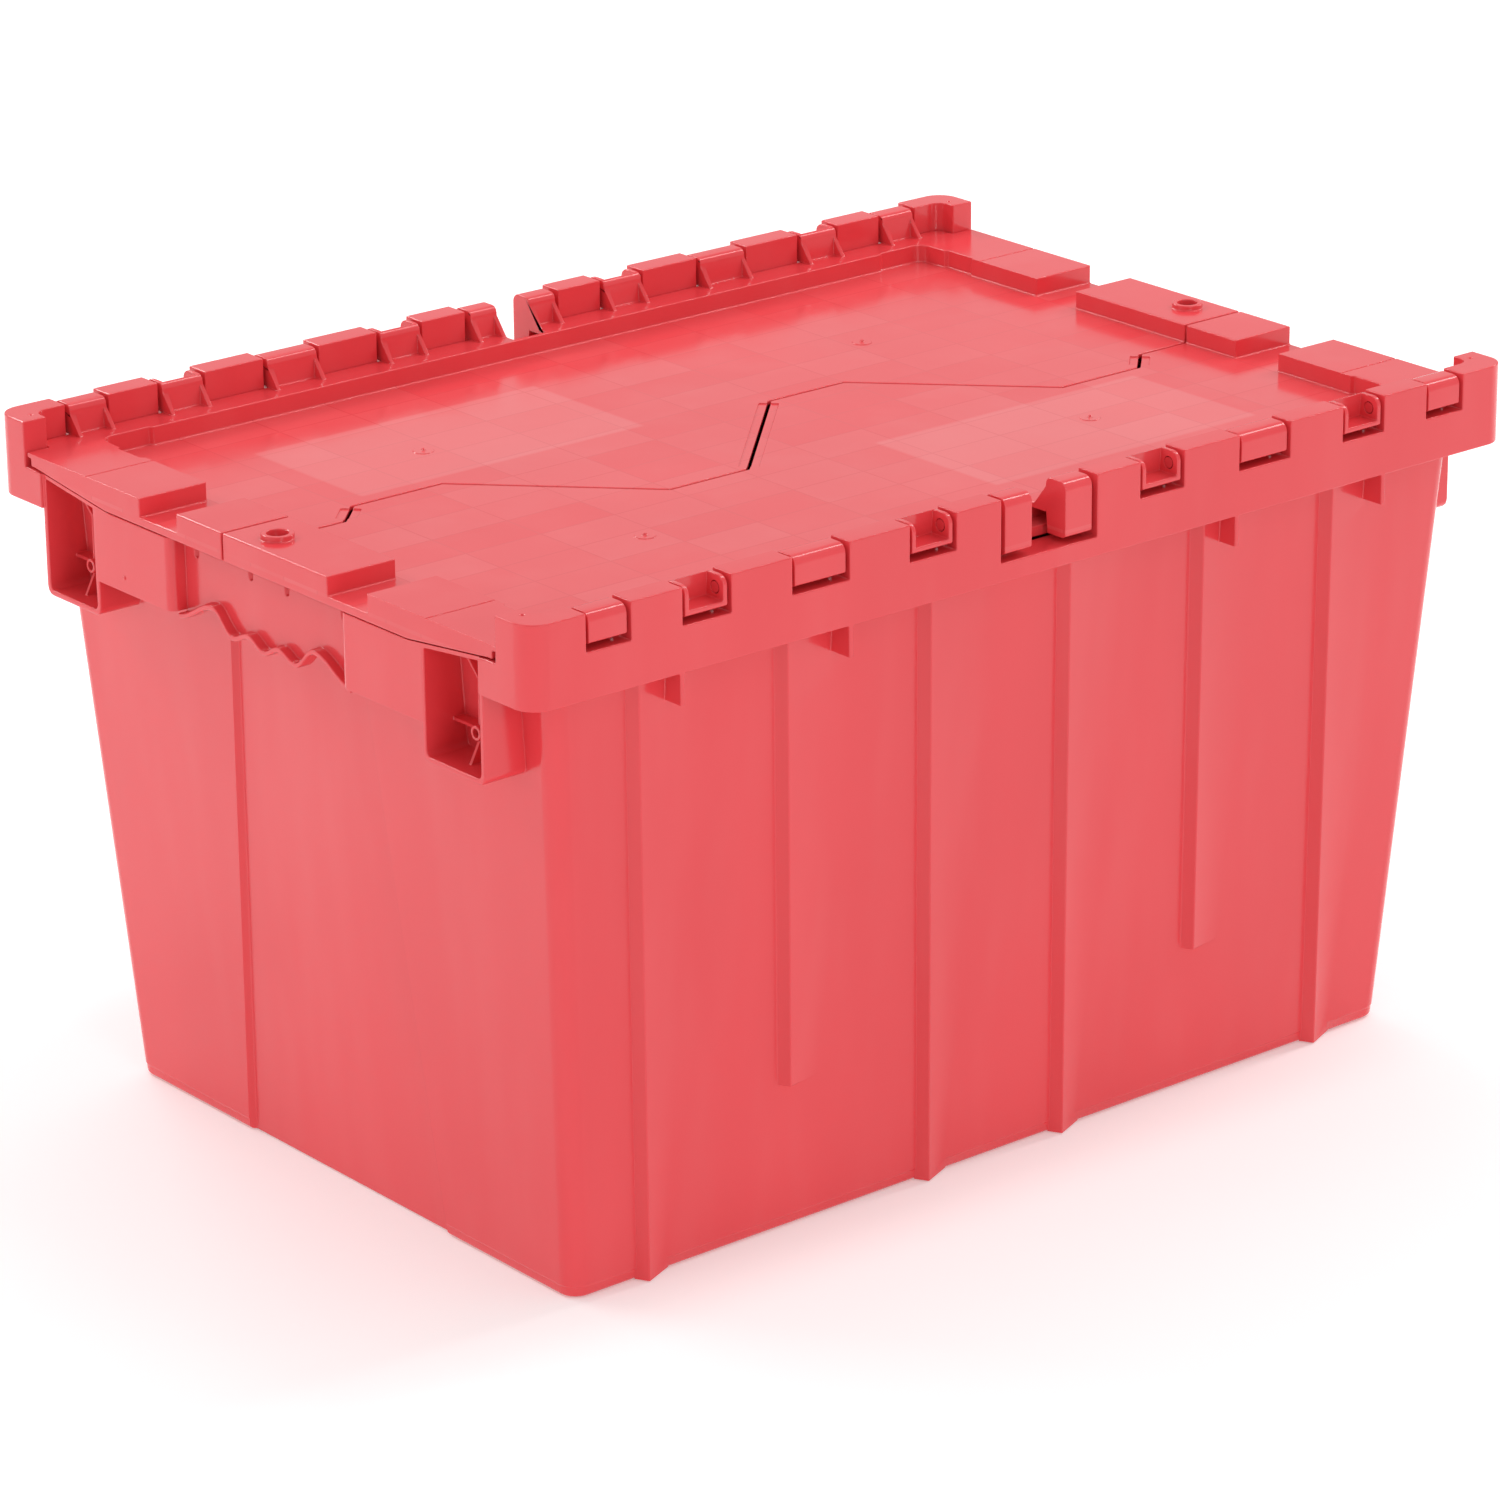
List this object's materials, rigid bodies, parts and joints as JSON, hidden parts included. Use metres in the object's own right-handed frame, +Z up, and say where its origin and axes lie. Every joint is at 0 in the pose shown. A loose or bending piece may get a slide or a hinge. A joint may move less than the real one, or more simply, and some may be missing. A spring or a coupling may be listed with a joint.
{
  "type": "attached lid tote",
  "caption": "Tall plastic tote with leaning ribbed walls, hand grips, and hinged lid halves that meet along a zigzag seam.",
  "frame": {"origin": "centre of the footprint, on the ground under the base", "axes": "+X along the length, +Y across the width towards the far lid's hinge, +Z up"},
  "size_m": [0.5556, 0.3874, 0.3175],
  "materials": {
    "tub_plastic": "satin moulded polyethylene, coral red",
    "lid_plastic": "satin moulded polyethylene, coral red",
    "pin_plastic": "moulded, dark red"
  },
  "bodies": {
    "tub": {"tub_body": "tub_plastic", "hinge_pin_near_1": "pin_plastic", "hinge_pin_near_2": "pin_plastic", "hinge_pin_near_3": "pin_plastic", "hinge_pin_near_4": "pin_plastic", "hinge_pin_near_5": "pin_plastic", "hinge_pin_near_6": "pin_plastic", "hinge_pin_near_7": "pin_plastic", "hinge_pin_near_8": "pin_plastic", "hinge_pin_near_9": "pin_plastic", "hinge_pin_near_10": "pin_plastic", "hinge_pin_far_1": "pin_plastic", "hinge_pin_far_2": "pin_plastic", "hinge_pin_far_3": "pin_plastic", "hinge_pin_far_4": "pin_plastic", "hinge_pin_far_5": "pin_plastic", "hinge_pin_far_6": "pin_plastic", "hinge_pin_far_7": "pin_plastic", "hinge_pin_far_8": "pin_plastic", "hinge_pin_far_9": "pin_plastic", "hinge_pin_far_10": "pin_plastic"},
    "near_lid": {"near_lid": "lid_plastic"},
    "far_lid": {"far_lid": "lid_plastic"}
  },
  "joints": [
    {"name": "near_lid_hinge", "type": "hinge", "parent": "tub", "child": "near_lid", "pos_m": [0, -0.18732, 0.3112], "axis": [1, 0, 0], "range_deg": [0, 255]},
    {"name": "far_lid_hinge", "type": "hinge", "parent": "tub", "child": "far_lid", "pos_m": [0, 0.18732, 0.3112], "axis": [-1, 0, 0], "range_deg": [0, 255]}
  ]
}
